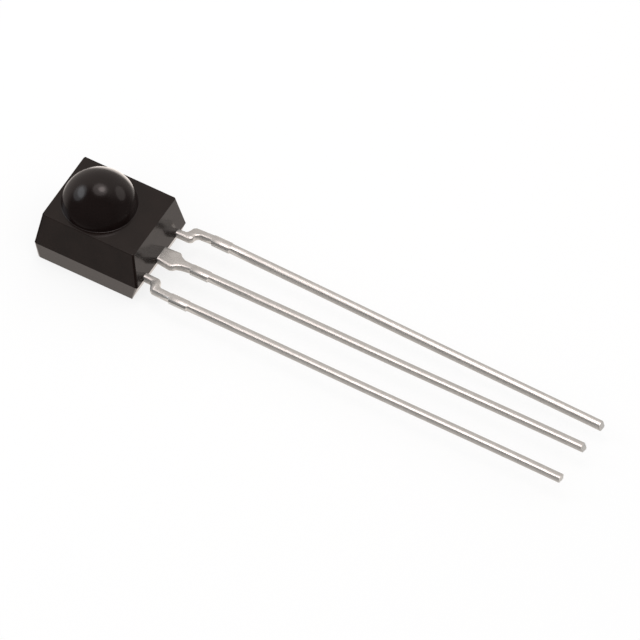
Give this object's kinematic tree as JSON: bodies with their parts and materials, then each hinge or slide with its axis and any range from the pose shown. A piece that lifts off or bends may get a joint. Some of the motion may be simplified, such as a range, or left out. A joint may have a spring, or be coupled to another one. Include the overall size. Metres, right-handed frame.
{
  "type": "infrared receiver module",
  "caption": "Black epoxy infrared receiver with a domed lens on its front and straight tinned leads in a row, lying on its back.",
  "frame": {"origin": "on the flat back face, under the middle of the dome lens", "axes": "+Z out of the back face towards the lens, +X along the leads from body to tips, +Y across the row of leads towards the supply lead"},
  "size_m": [0.0366, 0.006, 0.0058],
  "materials": {
    "epoxy": "moulded black epoxy, glossy",
    "tin_plate": "bright tin plate over steel strip",
    "silicon": "bare silicon chip",
    "silver_adhesive": "silver-filled epoxy adhesive",
    "gold": "fine gold wire"
  },
  "bodies": {
    "root": {"epoxy_body": "epoxy", "output_lead": "tin_plate", "ground_lead": "tin_plate", "supply_lead": "tin_plate", "photodiode_chip": "silicon", "photodiode_adhesive": "silver_adhesive", "receiver_chip": "silicon", "receiver_adhesive": "silver_adhesive", "photodiode_wire": "gold", "output_wire": "gold", "supply_wire": "gold", "ground_wire": "gold"}
  },
  "joints": []
}
